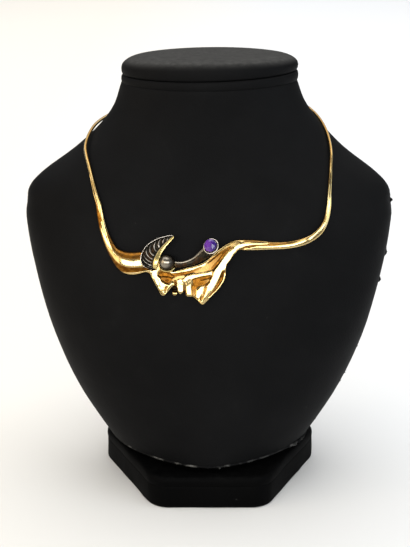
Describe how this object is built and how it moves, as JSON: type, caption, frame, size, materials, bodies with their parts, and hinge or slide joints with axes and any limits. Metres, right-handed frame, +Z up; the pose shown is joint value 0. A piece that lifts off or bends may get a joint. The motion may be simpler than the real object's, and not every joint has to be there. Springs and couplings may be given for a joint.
{
  "type": "bronze necklace on a black neck bust",
  "caption": "Rigid bronze neck ring with a horn, a draped sheet, a leaf, a dark ball and a stemmed purple stone, shown on a plain black neck bust.",
  "frame": {"origin": "on the surface that the bust stands on, under the middle of the whole object's box", "axes": "+Z up through the neck, the front of the chest towards -Y, +X to the right as seen from the front"},
  "size_m": [0.2016, 0.1312, 0.236],
  "materials": {
    "leatherette": "matte black leatherette with a fine grain",
    "bronze": "polished golden bronze with orange-brown tarnish in its hollows",
    "darkened_bronze": "oxidised bronze, rubbed bright on its rims",
    "gunmetal": "dark grey, highly polished",
    "amethyst": "faceted clear purple stone"
  },
  "bodies": {
    "root": {"pedestal": "leatherette", "spacer": "leatherette", "bust": "leatherette", "welt": "leatherette", "neck_cap": "leatherette", "collar": "bronze", "leaf": "darkened_bronze", "ball": "gunmetal", "ball_cup": "darkened_bronze", "stem": "darkened_bronze", "stone": "amethyst", "clasp": "bronze"}
  },
  "joints": []
}
